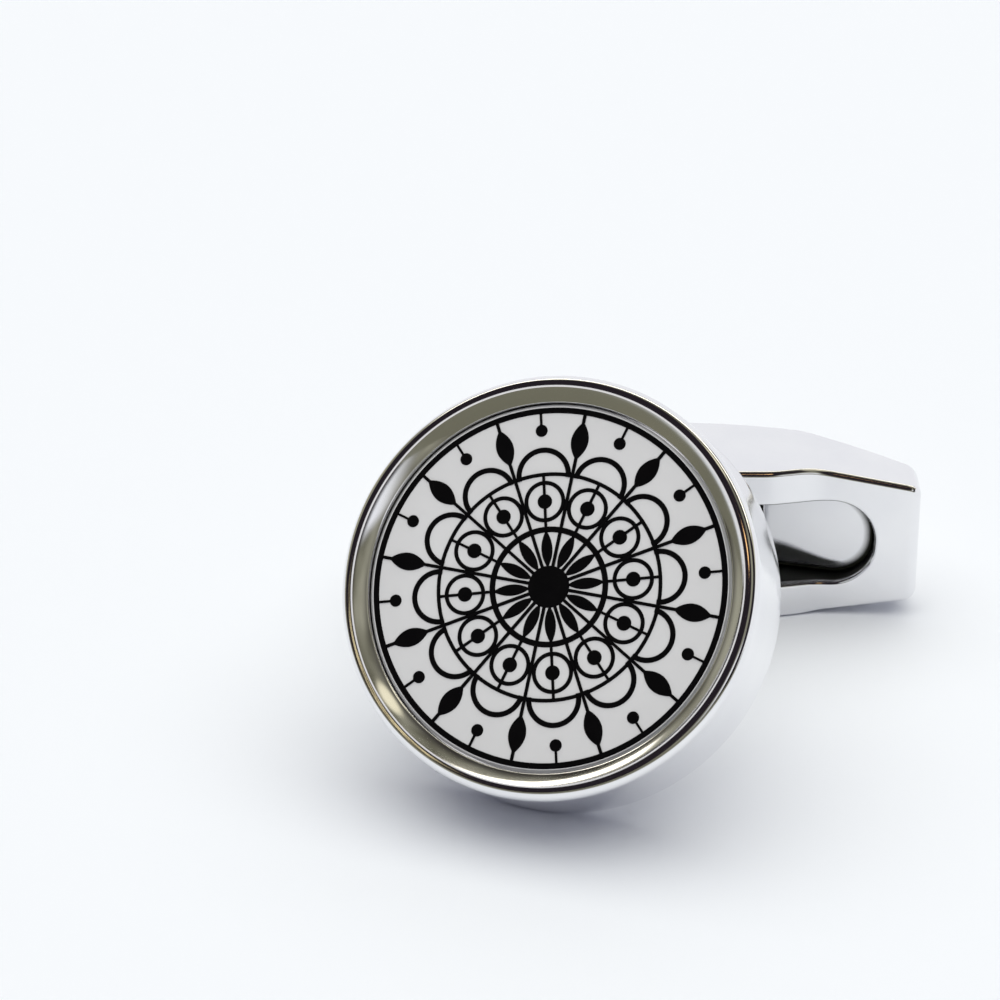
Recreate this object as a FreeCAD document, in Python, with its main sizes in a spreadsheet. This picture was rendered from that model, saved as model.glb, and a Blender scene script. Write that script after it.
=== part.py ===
import FreeCAD, Part
import Sketcher
import math
import os
from types import SimpleNamespace

# Cufflink: a round drum with an enamelled face, a bent stem on its back, and an arched toggle
# that swivels on a pin through the eye of the stem. It lies as it does on a table: the toggle
# flat on its lower rail and the drum leaning back on its rear edge.

doc = FreeCAD.newDocument("cufflink")
sheet = doc.addObject("Spreadsheet::Sheet", "sizes")

# Driving sizes in millimetres, angles in degrees
table = [
    ("drum_radius", 8.5, "outer radius of the drum"),
    ("drum_height", 5.0, "drum from its back to the crest of the rim"),
    ("drum_back_chamfer", 0.45, "broken rear edge, on which the drum rests"),
    ("rim_round", 0.5, "rounding of the rim outside its crest, turned in three steps"),
    ("crest_radius", 7.95, "inner edge of the crest, where the bevel starts"),
    ("recess_radius", 7.4, "wall of the recess that holds the face"),
    ("bevel_drop", 0.38, "fall of the bevel from the crest to the recess wall"),
    ("recess_depth", 1.15, "recess from the crest to its floor"),
    ("web_thickness", 0.9, "web under the face"),
    ("cavity_radius", 6.8, "hollow behind the web"),
    ("plate_radius", 7.2, "plate that closes the back"),
    ("plate_thickness", 0.9, "thickness of that plate"),
    ("film_thickness", 0.1, "bonding film under the face disc"),
    ("film_margin", 0.2, "film kept back from the edge of the disc"),
    ("disc_thickness", 0.55, "face disc"),
    ("disc_clearance", 0.04, "radial room of the disc in its recess"),
    ("disc_chamfer", 0.1, "broken edge of the disc"),
    ("enamel_thickness", 0.06, "enamel above the disc"),
    ("outer_ring_radius", 7.22, "outer edge of the enamel border"),
    ("outer_ring_width", 0.24, "width of the border"),
    ("middle_ring_radius", 4.6, "outer edge of the middle ring"),
    ("middle_ring_width", 0.16, "width of the middle ring"),
    ("inner_ring_radius", 2.42, "outer edge of the inner ring"),
    ("inner_ring_width", 0.24, "width of the inner ring"),
    ("hub_radius", 0.85, "enamel disc in the middle"),
    ("ray_width", 0.13, "thin rays from hub to border"),
    ("petal_width", 0.46, "petals between hub and inner ring"),
    ("petal_overlap", 0.1, "how far a petal runs into hub and ring"),
    ("leaf_start", 5.15, "inner tip of a leaf on its ray"),
    ("leaf_end", 6.72, "outer tip of a leaf"),
    ("leaf_width", 0.72, "width of a leaf"),
    ("head_tilt", 38.0, "lean of the drum's axis below the level"),
    ("foot_offset", 1.4, "foot of the stem below the middle of the drum"),
    ("foot_radius", 2.5, "foot flange"),
    ("foot_thickness", 0.5, "thickness of the foot flange"),
    ("spigot_radius", 1.3, "spigot brazed into the back plate"),
    ("spigot_clearance", 0.02, "radial room of the spigot for the braze"),
    ("stem_reach", 10.6, "level part of the stem, from elbow to pin"),
    ("stem_width", 2.2, "stem across"),
    ("neck_height", 3.2, "stem at the eye, up and down"),
    ("elbow_height", 3.5, "stem at the elbow"),
    ("root_height", 3.9, "stem at the foot"),
    ("elbow_radius", 4.0, "bend of the stem at its middle line"),
    ("stem_edge_round", 0.35, "rounded edges of the stem"),
    ("eye_radius", 1.55, "round eye at the end of the stem"),
    ("eye_height", 3.5, "height of the eye"),
    ("pin_radius", 0.65, "pivot pin"),
    ("pin_clearance", 0.03, "radial room of the pin in the eye"),
    ("pin_inset", 0.05, "pin ends below the rails"),
    ("pin_chamfer", 0.12, "broken ends of the pin"),
    ("washer_radius", 1.5, "washers on the eye"),
    ("washer_thickness", 0.22, "thickness of a washer"),
    ("toggle_length", 21.8, "toggle from end to end"),
    ("toggle_height", 7.2, "toggle over both rails"),
    ("toggle_end_height", 5.5, "toggle at its ends"),
    ("toggle_shoulder", 12.0, "length over which the toggle keeps its full height"),
    ("shoulder_round", 5.0, "soft bend where the height starts to fall"),
    ("pin_to_face", 1.4, "inner face of the toggle in front of the pin"),
    ("pin_to_back", 3.5, "crown of the toggle behind the pin"),
    ("end_depth", 2.05, "depth of the toggle at its ends"),
    ("hub_length", 9.0, "raised middle of the inner face"),
    ("waist_length", 13.2, "place of the shallow waist of the inner face"),
    ("waist_drop", 0.42, "waist behind the raised middle"),
    ("end_drop", 0.12, "ends of the inner face behind the raised middle"),
    ("waist_round", 3.0, "soft bends of the inner face"),
    ("toggle_edge_round", 0.42, "rounded edges of the toggle"),
    ("toggle_wall", 0.85, "back wall of the toggle"),
    ("slot_length", 18.0, "slot from end to end"),
    ("slot_height", 4.0, "slot between the rails"),
    ("well_length", 6.0, "deep part of the slot, round the eye"),
    ("ramp_length", 1.3, "ramp from the deep part to the shelf"),
    ("shelf_depth", 2.25, "shelf behind the raised face, at the ramp"),
    ("shelf_end_depth", 1.0, "shelf behind the raised face, at the slot's ends"),
    ("slot_end_round", 1.9, "rounded corners of the slot's ends"),
    ("leaf_spring_length", 5.6, "friction leaf from end to end"),
    ("leaf_spring_thickness", 0.25, "thickness of the leaf"),
    ("leaf_spring_height", 3.2, "height of the leaf"),
    ("leaf_spring_gap", 0.03, "room between the leaf and the eye"),
    ("leaf_seat_gap", 0.02, "room between the leaf's ends and the slot floor"),
    ("toggle_turn", 20.0, "toggle turned from square to the stem"),
    ("overrun", 1.0, "how far cuts run past what they cut"),
]
fold_count = 12


class Size:
    """A number with the sheet formula that it comes from."""

    def __init__(self, value, formula):
        self.value = value
        self.formula = formula

    def __add__(self, other):
        return Size(self.value + other.value, f"({self.formula} + {other.formula})")

    def __sub__(self, other):
        return Size(self.value - other.value, f"({self.formula} - {other.formula})")

    def __mul__(self, other):
        if isinstance(other, Size):
            return Size(self.value * other.value, f"({self.formula} * {other.formula})")
        return Size(self.value * other, f"({self.formula} * {other})")

    def __truediv__(self, other):
        if isinstance(other, Size):
            return Size(self.value / other.value, f"({self.formula} / {other.formula})")
        return Size(self.value / other, f"({self.formula} / {other})")

    def __neg__(self):
        return Size(-self.value, f"(-1 * {self.formula})")


def cosine(angle):
    return Size(math.cos(math.radians(angle.value)), f"cos({angle.formula} * 1 deg)")


def sine(angle):
    return Size(math.sin(math.radians(angle.value)), f"sin({angle.formula} * 1 deg)")


def tangent(angle):
    return Size(math.tan(math.radians(angle.value)), f"tan({angle.formula} * 1 deg)")


def smaller(first, second):
    return Size(min(first.value, second.value), f"min({first.formula}; {second.formula})")


def larger(first, second):
    return Size(max(first.value, second.value), f"max({first.formula}; {second.formula})")


named = {}
for row, (alias, number, meaning) in enumerate(table, start=1):
    sheet.set(f"A{row}", meaning)
    sheet.set(f"B{row}", str(number))
    sheet.setAlias(f"B{row}", alias)
    named[alias] = Size(number, f"sizes.{alias}")
doc.recompute()
s = SimpleNamespace(**named)
nought = Size(0.0, "0")


def new_body(name):
    body = doc.addObject("PartDesign::Body", name)
    body.Label = name
    return body


def origin_item(body, role):
    return next(item for item in body.Origin.OriginFeatures if item.Role == role)


def new_sketch(body, role, name):
    sketch = body.newObject("Sketcher::SketchObject", name)
    sketch.AttachmentSupport = [(origin_item(body, role), "")]
    sketch.MapMode = "FlatFace"
    return sketch


def bind(sketch, kind, places, size):
    index = sketch.addConstraint(Sketcher.Constraint(kind, *places, size.value))
    sketch.setExpression(f"Constraints[{index}]", size.formula)


def place_point(sketch, geometry, end, point):
    across, up = point
    if across is nought:
        sketch.addConstraint(Sketcher.Constraint("PointOnObject", geometry, end, -2))
    else:
        bind(sketch, "DistanceX", (-1, 1, geometry, end), across)
    if up is nought:
        sketch.addConstraint(Sketcher.Constraint("PointOnObject", geometry, end, -1))
    else:
        bind(sketch, "DistanceY", (-1, 1, geometry, end), up)


def arc_through(first, last, radius, turns_left):
    chord = last - first
    half = chord.Length / 2
    rise = math.sqrt(max(radius * radius - half * half, 0))
    aside = FreeCAD.Vector(-chord.y, chord.x, 0).normalize()
    middle = first + chord * 0.5
    centre = middle + aside * rise if turns_left else middle - aside * rise
    start, stop = (first, last) if turns_left else (last, first)
    circle = Part.Circle(centre, FreeCAD.Vector(0, 0, 1), radius)
    begin = math.atan2(start.y - centre.y, start.x - centre.x)
    finish = math.atan2(stop.y - centre.y, stop.x - centre.x)
    return Part.ArcOfCircle(circle, begin, finish)


def outline(sketch, points, arcs=None):
    """Closed outline; arcs maps a side to its radius and whether it bends to the left."""
    arcs = arcs or {}
    spots = [FreeCAD.Vector(x.value, y.value, 0) for x, y in points]
    count = len(points)
    ends = []
    for side in range(count):
        first, last = spots[side], spots[(side + 1) % count]
        if side in arcs:
            radius, turns_left = arcs[side]
            geometry = sketch.addGeometry(arc_through(first, last, radius.value, turns_left), False)
            ends.append((geometry, 1, 2) if turns_left else (geometry, 2, 1))
        else:
            geometry = sketch.addGeometry(Part.LineSegment(first, last), False)
            ends.append((geometry, 1, 2))
    for side in range(count):
        here, following = ends[side], ends[(side + 1) % count]
        sketch.addConstraint(Sketcher.Constraint("Coincident", here[0], here[2], following[0], following[1]))
    for side in range(count):
        place_point(sketch, ends[side][0], ends[side][1], points[side])
    for side, (radius, turns_left) in arcs.items():
        bind(sketch, "Radius", (ends[side][0],), radius)
    return ends


def circle(sketch, radius, across=nought, up=nought):
    centre = FreeCAD.Vector(across.value, up.value, 0)
    ring = Part.Circle(centre, FreeCAD.Vector(0, 0, 1), radius.value)
    geometry = sketch.addGeometry(ring, False)
    place_point(sketch, geometry, 3, (across, up))
    bind(sketch, "Radius", (geometry,), radius)


def pad(body, sketch, name, length, both_ways=False, merge=True):
    feature = body.newObject("PartDesign::Pad", name)
    feature.Profile = sketch
    feature.setExpression("Length", length.formula)
    feature.Midplane = both_ways
    feature.Refine = merge
    doc.recompute()
    return feature


def pocket(body, sketch, name, length):
    before = body.Shape.Volume
    feature = body.newObject("PartDesign::Pocket", name)
    feature.Profile = sketch
    feature.setExpression("Length", length.formula)
    feature.Midplane = True
    doc.recompute()
    if not body.Shape.Volume < before:
        raise RuntimeError(f"{name} cuts nothing")
    return feature


def revolve(body, sketch, name, axis):
    feature = body.newObject("PartDesign::Revolution", name)
    feature.Profile = sketch
    feature.ReferenceAxis = (sketch, [axis])
    feature.Angle = 360.0
    doc.recompute()
    return feature


def polar(body, originals, sketch, name):
    feature = body.newObject("PartDesign::PolarPattern", name)
    feature.Originals = originals
    feature.Axis = (sketch, ["N_Axis"])
    feature.Angle = 360.0
    feature.Occurrences = fold_count
    body.Tip = feature
    doc.recompute()
    return feature


def fillet(body, name, radius, wanted):
    base = body.Tip
    names = [f"Edge{i}" for i, edge in enumerate(base.Shape.Edges, start=1) if wanted(edge)]
    if not names:
        raise RuntimeError(f"{name} finds no edge")
    feature = body.newObject("PartDesign::Fillet", name)
    feature.Base = (base, names)
    feature.setExpression("Radius", radius.formula)
    doc.recompute()
    return feature


def near(first, second):
    return abs(first - second) < fuzz


fuzz = 1e-4


# Drum: turned cup with a recess in front and a hollow behind, closed by the back plate
drum = new_body("bezel_drum")
profile = new_sketch(drum, "XZ_Plane", "drum_profile")
recess_floor = s.drum_height - s.recess_depth
crest_land_share = 0.06
crest_outside = s.crest_radius + s.rim_round * (1 + crest_land_share)
drum_outside = larger(s.drum_radius, crest_outside)
rim_steps = 3


def rim_point(step):
    """Point on the rounded rim, from the side wall to the crest."""
    angle = math.pi / 2 * step / rim_steps
    across = drum_outside - s.rim_round * (1 - math.cos(angle))
    up = s.drum_height - s.rim_round * (1 - math.sin(angle))
    return across, up


web_back = recess_floor - s.web_thickness
outline(profile, [
    (s.plate_radius, nought),
    (drum_outside - s.drum_back_chamfer, nought),
    (drum_outside, s.drum_back_chamfer),
    rim_point(0),
    rim_point(1),
    rim_point(2),
    rim_point(3),
    (s.crest_radius, s.drum_height),
    (s.recess_radius, s.drum_height - s.bevel_drop),
    (s.recess_radius, recess_floor),
    (nought, recess_floor),
    (nought, web_back),
    (s.cavity_radius, web_back),
    (s.cavity_radius, s.plate_thickness),
    (s.plate_radius, s.plate_thickness),
])
revolve(drum, profile, "drum_turning", "V_Axis")

# Bonding film on the floor of the recess
film_radius = s.recess_radius - s.disc_clearance - s.film_margin
film = new_body("bond_film")
film_sketch = new_sketch(film, "XY_Plane", "film_outline")
circle(film_sketch, film_radius)
pad(film, film_sketch, "film_layer", s.film_thickness)

# Face disc, with a broken edge, lying on the film
disc_radius = s.recess_radius - s.disc_clearance
disc = new_body("face_disc")
disc_profile = new_sketch(disc, "XZ_Plane", "disc_profile")
outline(disc_profile, [
    (nought, nought),
    (disc_radius, nought),
    (disc_radius, s.disc_thickness - s.disc_chamfer),
    (disc_radius - s.disc_chamfer, s.disc_thickness),
    (nought, s.disc_thickness),
])
revolve(disc, disc_profile, "disc_turning", "V_Axis")

# Enamel rosette on the disc: hub and rings, then one set of motifs that is repeated all round
rosette = new_body("enamel_rosette")
motifs = []


def motif(name):
    return new_sketch(rosette, "XY_Plane", name)


def repeat(sketch, name):
    motifs.append(pad(rosette, sketch, name, s.enamel_thickness, merge=False))


def bar(sketch, inner, outer, width):
    """Straight strip along the first ray."""
    half = width / 2
    outline(sketch, [(inner, -half), (outer, -half), (outer, half), (inner, half)])


half_pitch = math.pi / fold_count
half_cos = math.cos(half_pitch)
half_sin = math.sin(half_pitch)


def lens(sketch, inner, outer, width, beside=False):
    """Pointed oval between two radii, with few sides because it is repeated."""
    quarter = (outer - inner) / 4
    slim = width * lens_shoulder_share / 2
    sides = [
        (inner, nought),
        (inner + quarter, -slim),
        (inner + quarter * 2, -width / 2),
        (inner + quarter * 3, -slim),
        (outer, nought),
        (inner + quarter * 3, slim),
        (inner + quarter * 2, width / 2),
        (inner + quarter, slim),
    ]
    if beside:
        sides = [(x * half_cos - y * half_sin, x * half_sin + y * half_cos) for x, y in sides]
    outline(sketch, sides)


lens_shoulder_share = 0.75

hub_sketch = motif("hub")
circle(hub_sketch, s.hub_radius)
pad(rosette, hub_sketch, "hub_disc", s.enamel_thickness, merge=False)

border_inside = s.outer_ring_radius - s.outer_ring_width
ray_sketch = motif("ray")
bar(ray_sketch, s.hub_radius / 2, border_inside + s.outer_ring_width / 2, s.ray_width)
repeat(ray_sketch, "rays")

for ring_name, ring_radius, ring_width in (
    ("inner_ring", s.inner_ring_radius, s.inner_ring_width),
    ("middle_ring", s.middle_ring_radius, s.middle_ring_width),
    ("outer_ring", s.outer_ring_radius, s.outer_ring_width),
):
    ring_sketch = motif(f"{ring_name}_lines")
    circle(ring_sketch, ring_radius)
    circle(ring_sketch, ring_radius - ring_width)
    pad(rosette, ring_sketch, ring_name, s.enamel_thickness, merge=False)

petal_sketch = motif("petal")
petal_end = s.inner_ring_radius - s.inner_ring_width + s.petal_overlap
lens(petal_sketch, s.hub_radius - s.petal_overlap, petal_end, s.petal_width, beside=True)
repeat(petal_sketch, "petals")

leaf_sketch = motif("leaf")
lens(leaf_sketch, s.leaf_start, s.leaf_end, s.leaf_width)
repeat(leaf_sketch, "leaves")

polar(rosette, motifs, hub_sketch, "rosette_round")

# Back plate pressed into the drum, with the hole for the spigot of the stem
plate = new_body("back_plate")
plate_sketch = new_sketch(plate, "XY_Plane", "plate_outline")
circle(plate_sketch, s.plate_radius)
circle(plate_sketch, s.spigot_radius + s.spigot_clearance, nought, -s.foot_offset)
pad(plate, plate_sketch, "plate_sheet", s.plate_thickness)

# Stem: drawn from the pin, level towards the drum, then bent up square to the drum's back
tilt_cos = cosine(s.head_tilt)
tilt_sin = sine(s.head_tilt)
tilt_half = tangent(s.head_tilt / 2)
drum_lift = drum_outside * tilt_cos - s.drum_back_chamfer * tilt_sin
pin_lift = s.toggle_height / 2
root_length = (drum_lift - s.foot_offset * tilt_cos - pin_lift) / tilt_sin
foot_back = s.stem_reach + root_length * tilt_cos
foot_y = -foot_back
foot_z = root_length * tilt_sin
neck_half = s.neck_height / 2
elbow_half = s.elbow_height / 2
root_half = s.root_height / 2
stem = new_body("stem")
side = new_sketch(stem, "YZ_Plane", "stem_side")
outline(side, [
    (nought, -neck_half),
    (nought, neck_half),
    (elbow_half * tilt_half - s.stem_reach, elbow_half),
    (foot_y + root_half * tilt_sin, foot_z + root_half * tilt_cos),
    (foot_y - root_half * tilt_sin, foot_z - root_half * tilt_cos),
    (-(s.stem_reach + elbow_half * tilt_half), -elbow_half),
])
pad(stem, side, "stem_bar", s.stem_width, both_ways=True)


def elbow_edge(sign):
    target_y = sign * elbow_half.value * tilt_half.value - s.stem_reach.value
    target_z = sign * elbow_half.value

    def wanted(edge):
        middle = edge.CenterOfMass
        return near(middle.y, target_y) and near(middle.z, target_z) and near(middle.x, 0)

    return wanted


fillet(stem, "elbow_inside", s.elbow_radius - elbow_half, elbow_edge(1))
fillet(stem, "elbow_outside", s.elbow_radius + elbow_half, elbow_edge(-1))


def along_side(edge):
    box = edge.BoundBox
    on_side = near(abs(edge.CenterOfMass.x), s.stem_width.value / 2)
    level_end = near(box.YMin, 0) and near(box.YMax, 0)
    low_end = edge.CenterOfMass.y < foot_y.value + root_half.value * tilt_sin.value
    across_foot = near(edge.Length, s.root_height.value) and low_end
    return on_side and box.XLength < fuzz and not level_end and not across_foot


fillet(stem, "stem_edges", s.stem_edge_round, along_side)
eye_outline = new_sketch(stem, "XY_Plane", "eye_outline")
circle(eye_outline, s.eye_radius)
pad(stem, eye_outline, "eye", s.eye_height, both_ways=True)


def foot_point(inward, outward):
    """Point of the foot: along the drum's axis towards the face, and square to it."""
    across = foot_y - inward * tilt_cos + outward * tilt_sin
    up = foot_z + inward * tilt_sin + outward * tilt_cos
    return across, up


foot_sketch = new_sketch(stem, "YZ_Plane", "foot_profile")
foot_ends = outline(foot_sketch, [
    foot_point(-s.foot_thickness, nought),
    foot_point(-s.foot_thickness, s.foot_radius - s.foot_thickness / 2),
    foot_point(-s.foot_thickness / 2, s.foot_radius),
    foot_point(nought, s.foot_radius),
    foot_point(nought, s.spigot_radius),
    foot_point(s.plate_thickness, s.spigot_radius),
    foot_point(s.plate_thickness, nought),
])
axis_start = foot_sketch.getPoint(foot_ends[0][0], foot_ends[0][1])
axis_stop = foot_sketch.getPoint(foot_ends[6][0], foot_ends[6][1])
axis_line = foot_sketch.addGeometry(Part.LineSegment(axis_start, axis_stop), True)
foot_sketch.addConstraint(Sketcher.Constraint("Coincident", axis_line, 1, foot_ends[0][0], foot_ends[0][1]))
foot_sketch.addConstraint(Sketcher.Constraint("Coincident", axis_line, 2, foot_ends[6][0], foot_ends[6][1]))
revolve(stem, foot_sketch, "foot_and_spigot", "Axis0")
bore_sketch = new_sketch(stem, "XY_Plane", "pin_bore_outline")
circle(bore_sketch, s.pin_radius + s.pin_clearance)
pocket(stem, bore_sketch, "pin_bore", s.eye_height + s.overrun)

# Toggle: arched casting, drawn about the pin, with a blind slot open towards the drum
half_length = s.toggle_length / 2
back_end = s.end_depth - s.pin_to_face + s.end_drop
crown_rise = s.pin_to_back - back_end
crown_radius = (half_length * half_length + crown_rise * crown_rise) / (crown_rise * 2)
toggle = new_body("toggle_body")
plan = new_sketch(toggle, "XY_Plane", "toggle_plan")
outline(plan, [
    (-half_length, s.end_drop - s.pin_to_face),
    (-(s.waist_length / 2), s.waist_drop - s.pin_to_face),
    (-(s.hub_length / 2), -s.pin_to_face),
    (s.hub_length / 2, -s.pin_to_face),
    (s.waist_length / 2, s.waist_drop - s.pin_to_face),
    (half_length, s.end_drop - s.pin_to_face),
    (half_length, back_end),
    (-half_length, back_end),
], {6: (crown_radius, True)})
pad(toggle, plan, "toggle_block", s.toggle_height, both_ways=True)
cut_depth = (s.pin_to_face + s.pin_to_back + s.overrun) * 2
for across_name, across in (("right", 1), ("left", -1)):
    for up_name, up in (("upper", 1), ("lower", -1)):
        corner = new_sketch(toggle, "XZ_Plane", f"{across_name}_{up_name}_taper")
        far = half_length + s.overrun
        slope = (s.toggle_height - s.toggle_end_height) / (s.toggle_length - s.toggle_shoulder)
        tip = s.toggle_end_height / 2 - slope * s.overrun
        top = s.toggle_height / 2 + s.overrun
        points = [
            (s.toggle_shoulder / 2 * across, s.toggle_height / 2 * up),
            (far * across, tip * up),
            (far * across, top * up),
            (s.toggle_shoulder / 2 * across, top * up),
        ]
        outline(corner, points)
        pocket(toggle, corner, f"{across_name}_{up_name}_cut", cut_depth)


def shoulder_edge(edge):
    middle = edge.CenterOfMass
    at_shoulder = near(abs(middle.x), s.toggle_shoulder.value / 2)
    return at_shoulder and near(abs(middle.z), s.toggle_height.value / 2) and edge.BoundBox.XLength < fuzz


fillet(toggle, "shoulders", s.shoulder_round, shoulder_edge)


bend_limit_share = 0.8


def bend_edge(edge):
    middle = edge.CenterOfMass
    upright = edge.BoundBox.XLength < fuzz and edge.BoundBox.YLength < fuzz
    at_hub = near(abs(middle.x), s.hub_length.value / 2)
    at_waist = near(abs(middle.x), s.waist_length.value / 2)
    return upright and (at_hub or at_waist)


waist_run = (s.waist_length - s.hub_length) / 2
bend_limit = waist_run * waist_run / s.waist_drop * bend_limit_share
fillet(toggle, "face_bends", smaller(s.waist_round, bend_limit), bend_edge)


def sharp_edge(edge):
    """Edge where two faces meet at a clear angle."""
    faces = toggle.Tip.Shape.ancestorsOfType(edge, Part.Face)
    if len(faces) != 2:
        return False
    middle = edge.valueAt((edge.FirstParameter + edge.LastParameter) / 2)
    normals = []
    for face in faces:
        u, v = face.Surface.parameter(middle)
        normals.append(face.normalAt(u, v))
    return normals[0].getAngle(normals[1]) > math.radians(sharp_angle)


sharp_angle = 30.0
fillet(toggle, "toggle_edges", s.toggle_edge_round, sharp_edge)

slot_half = s.slot_length / 2
floor_radius = crown_radius - s.toggle_wall
floor_centre = s.pin_to_back - crown_radius


def floor_height(across):
    """Slot floor behind the pin, at a distance along the toggle."""
    inner = floor_radius * floor_radius - across * across
    root = Size(math.sqrt(inner.value), f"sqrt({inner.formula})")
    return floor_centre + root


slot_plan = new_sketch(toggle, "XY_Plane", "slot_plan")
front = -(s.pin_to_face + s.overrun)
well_half = s.well_length / 2
shelf_start = well_half + s.ramp_length
outline(slot_plan, [
    (-slot_half, front),
    (slot_half, front),
    (slot_half, s.shelf_end_depth - s.pin_to_face),
    (shelf_start, s.shelf_depth - s.pin_to_face),
    (well_half, floor_height(well_half)),
    (-well_half, floor_height(well_half)),
    (-shelf_start, s.shelf_depth - s.pin_to_face),
    (-slot_half, s.shelf_end_depth - s.pin_to_face),
], {4: (floor_radius, True)})
pocket(toggle, slot_plan, "slot", s.slot_height)


def slot_corner(edge):
    middle = edge.CenterOfMass
    at_end = near(abs(middle.x), slot_half.value)
    return at_end and near(abs(middle.z), s.slot_height.value / 2) and edge.BoundBox.XLength < fuzz


fillet(toggle, "slot_ends", s.slot_end_round, slot_corner)
hole_sketch = new_sketch(toggle, "XY_Plane", "pin_hole_outline")
circle(hole_sketch, s.pin_radius)
pocket(toggle, hole_sketch, "pin_hole", s.toggle_height + s.overrun)

# Pivot pin, held in the rails
pin = new_body("pivot_pin")
pin_profile = new_sketch(pin, "XZ_Plane", "pin_profile")
pin_half = s.toggle_height / 2 - s.pin_inset
outline(pin_profile, [
    (nought, -pin_half),
    (s.pin_radius - s.pin_chamfer, -pin_half),
    (s.pin_radius, s.pin_chamfer - pin_half),
    (s.pin_radius, pin_half - s.pin_chamfer),
    (s.pin_radius - s.pin_chamfer, pin_half),
    (nought, pin_half),
])
revolve(pin, pin_profile, "pin_turning", "V_Axis")

# Washers between the eye and the rails
washers = []
for washer_name in ("upper_washer", "lower_washer"):
    washer = new_body(washer_name)
    washer_sketch = new_sketch(washer, "XY_Plane", f"{washer_name}_outline")
    circle(washer_sketch, s.washer_radius)
    circle(washer_sketch, s.pin_radius + s.pin_clearance)
    pad(washer, washer_sketch, f"{washer_name}_sheet", s.washer_thickness)
    washers.append(washer)

# Friction leaf: bowed strip with its ends on the slot floor and its middle on the eye
spring = new_body("leaf_spring")
spring_half = s.leaf_spring_length / 2
spring_front = s.eye_radius + s.leaf_spring_gap
spring_back = spring_front + s.leaf_spring_thickness
spring_end = floor_height(spring_half) - s.leaf_seat_gap
spring_rise = spring_end - spring_back
outer_bow = (spring_half * spring_half + spring_rise * spring_rise) / (spring_rise * 2)
inner_bow = outer_bow + s.leaf_spring_thickness
inner_square = inner_bow * inner_bow - spring_half * spring_half
inner_root = Size(math.sqrt(inner_square.value), f"sqrt({inner_square.formula})")
spring_inner_end = spring_front + inner_bow - inner_root
spring_plan = new_sketch(spring, "XY_Plane", "leaf_plan")
outline(spring_plan, [
    (-spring_half, spring_inner_end),
    (spring_half, spring_inner_end),
    (spring_half, spring_end),
    (-spring_half, spring_end),
], {0: (inner_bow, True), 2: (outer_bow, False)})
pad(spring, spring_plan, "leaf_strip", s.leaf_spring_height, both_ways=True)

# Places: the drum leans on its rear edge, the toggle lies on its lower rail
lean = FreeCAD.Rotation(FreeCAD.Vector(1, 0, 0), 90.0 - s.head_tilt.value)
drum_y = foot_y.value + s.foot_offset.value * tilt_sin.value
drum_z = pin_lift.value + foot_z.value + s.foot_offset.value * tilt_cos.value
drum_place = FreeCAD.Placement(FreeCAD.Vector(0, drum_y, drum_z), lean)
turn = FreeCAD.Rotation(FreeCAD.Vector(0, 0, 1), s.toggle_turn.value)
pin_place = FreeCAD.Placement(FreeCAD.Vector(0, 0, pin_lift.value), FreeCAD.Rotation())
toggle_place = FreeCAD.Placement(FreeCAD.Vector(0, 0, pin_lift.value), turn)


def lifted(place, height):
    return place.multiply(FreeCAD.Placement(FreeCAD.Vector(0, 0, height), FreeCAD.Rotation()))


film_base = recess_floor
disc_base = film_base + s.film_thickness
enamel_base = disc_base + s.disc_thickness
eye_half = s.eye_height / 2
washer_room = s.slot_height / 2 - eye_half - s.washer_thickness
places = [
    (drum, drum_place),
    (plate, drum_place),
    (film, lifted(drum_place, film_base.value)),
    (disc, lifted(drum_place, disc_base.value)),
    (rosette, lifted(drum_place, enamel_base.value)),
    (stem, pin_place),
    (toggle, toggle_place),
    (pin, toggle_place),
    (spring, toggle_place),
    (washers[0], lifted(toggle_place, (eye_half + washer_room).value)),
    (washers[1], lifted(toggle_place, (-eye_half - washer_room - s.washer_thickness).value)),
]
for body, place in places:
    body.Placement = place
doc.recompute()

# Origin under the middle of the whole part, on the surface that it lies on
whole = FreeCAD.BoundBox()
for body, place in places:
    whole.add(body.Shape.optimalBoundingBox(False))
shift = FreeCAD.Vector(-whole.Center.x, -whole.Center.y, -whole.ZMin)
for body, place in places:
    body.Placement = FreeCAD.Placement(place.Base + shift, place.Rotation)
doc.recompute()

broken = [item.Label for item in doc.Objects if "Invalid" in item.State or "Error" in item.State]
if broken:
    raise RuntimeError(f"failed objects: {broken}")
for body, place in places:
    shape = body.Shape
    if shape.isNull() or not shape.isValid() or not shape.Solids:
        raise RuntimeError(f"bad shape: {body.Label}")

os.makedirs("parts", exist_ok=True)
for body, place in places:
    body.Shape.exportStep(f"parts/{body.Label}.step")
    print(body.Label, len(body.Shape.Solids), round(body.Shape.Volume, 4), body.Placement.Base)
print("pin at", shift.x, shift.y, pin_lift.value + shift.z, "box", whole)
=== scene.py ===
import math

import bmesh
import bpy
from mathutils import Matrix, Vector


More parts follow.
